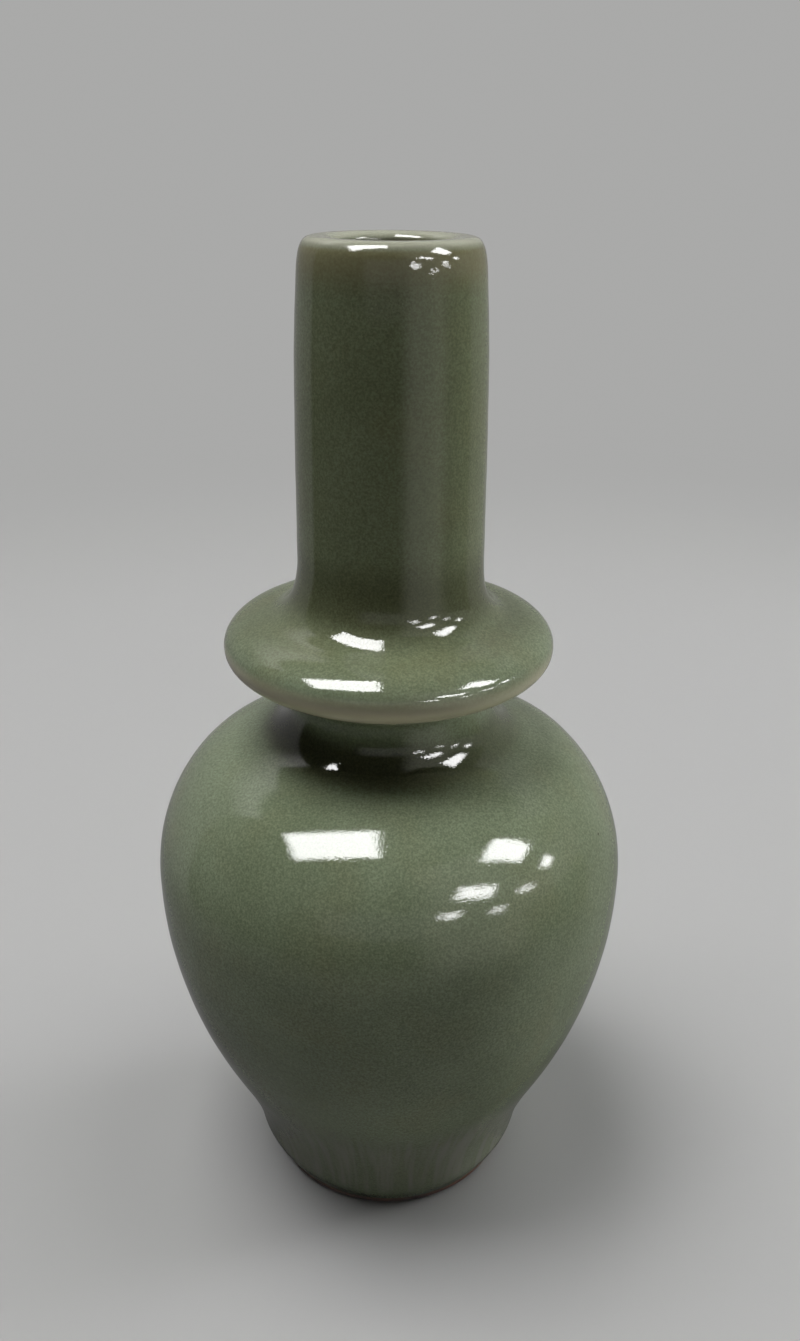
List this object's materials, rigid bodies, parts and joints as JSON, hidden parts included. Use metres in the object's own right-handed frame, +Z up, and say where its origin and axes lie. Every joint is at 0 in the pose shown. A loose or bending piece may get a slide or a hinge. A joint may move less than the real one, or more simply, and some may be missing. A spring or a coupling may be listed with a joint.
{
  "type": "meiping vase",
  "caption": "Celadon-glazed stoneware vase with a meiping body, a lens-shaped collar round the neck and a tall tube with a small rolled mouth, for a few flower stems.",
  "frame": {"origin": "centre of the foot ring on the surface that the vase stands on", "axes": "Z up along the throwing axis, X to the viewer's right, Y away from the viewer"},
  "size_m": [0.0974, 0.0974, 0.1996],
  "materials": {
    "clay": "bare iron-bearing stoneware, burnt reddish brown where it shows at the foot",
    "slip": "fired luting slip of the same clay, hidden in the wall",
    "celadon_glaze": "glossy grey-green celadon, paler and thinner on the lip and the collar's edge"
  },
  "bodies": {
    "root": {"lower_body": "clay", "upper_body": "clay", "collar": "clay", "neck_tube": "clay", "belly_slip": "slip", "neck_slip": "slip", "tube_slip": "slip", "outer_glaze": "celadon_glaze", "inner_glaze": "celadon_glaze", "base_glaze": "celadon_glaze"}
  },
  "joints": []
}
